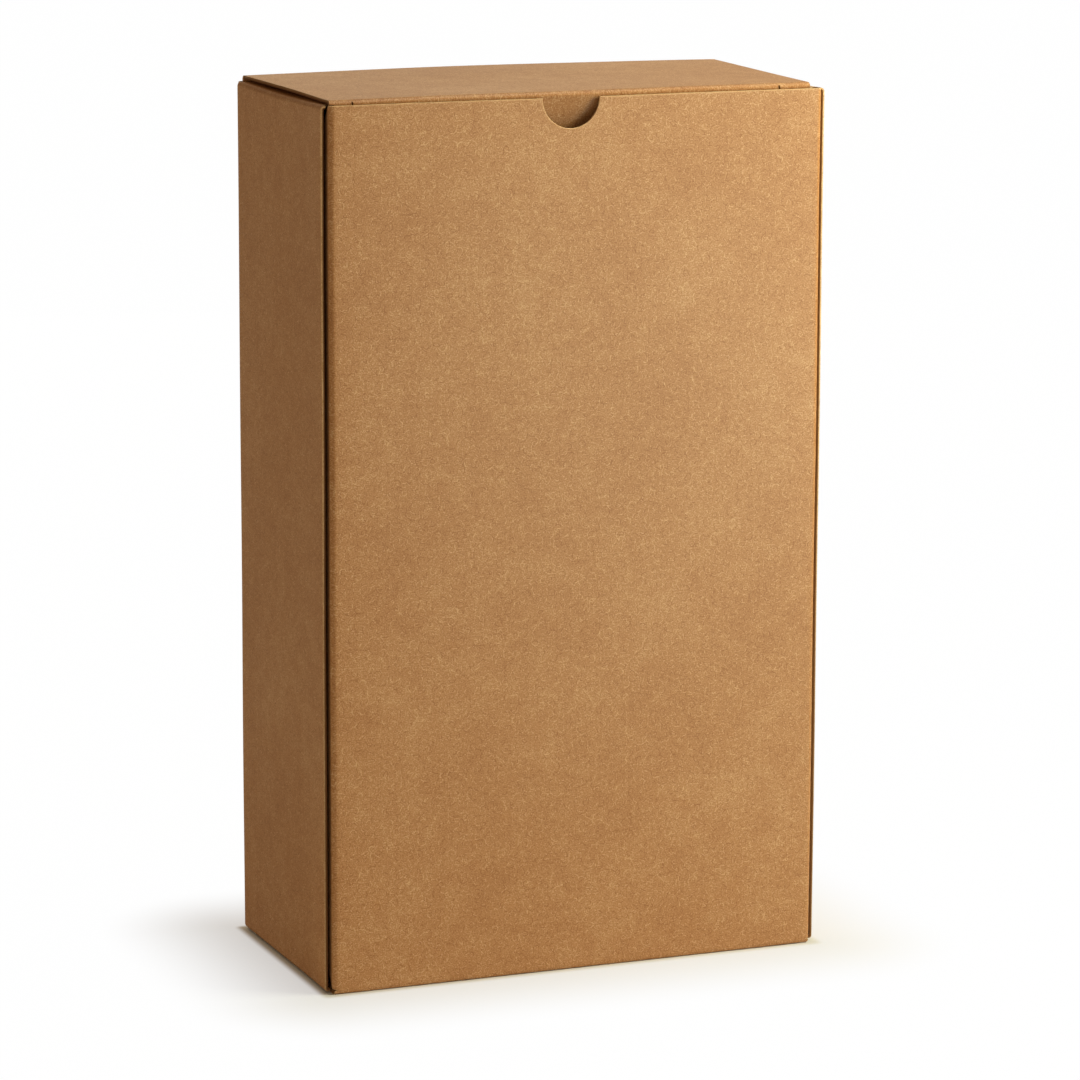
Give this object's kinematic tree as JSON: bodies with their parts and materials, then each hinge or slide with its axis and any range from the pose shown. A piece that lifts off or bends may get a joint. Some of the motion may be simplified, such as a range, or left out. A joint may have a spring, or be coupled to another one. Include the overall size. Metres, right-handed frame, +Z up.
{
  "type": "tuck-top cardboard carton",
  "caption": "Tall upright kraft carton, folded from one sheet of board, with a hinged tuck lid and a half-round thumb notch in its front edge.",
  "frame": {"origin": "middle of the closed box's footprint, on the surface it stands on", "axes": "+X across the front to the right, +Y from the front wall to the back wall, +Z up"},
  "size_m": [0.204, 0.102, 0.341],
  "materials": {
    "kraft_board": "uncoated brown kraft liner with fine fibres and specks, matt"
  },
  "bodies": {
    "carton_body": {"carton_body": "kraft_board"},
    "lid": {"lid": "kraft_board"}
  },
  "joints": [
    {"name": "lid_hinge", "type": "hinge", "parent": "carton_body", "child": "lid", "pos_m": [0, 0.0504, 0.3404], "axis": [-1, 0, 0], "range_deg": [0, 175]}
  ]
}
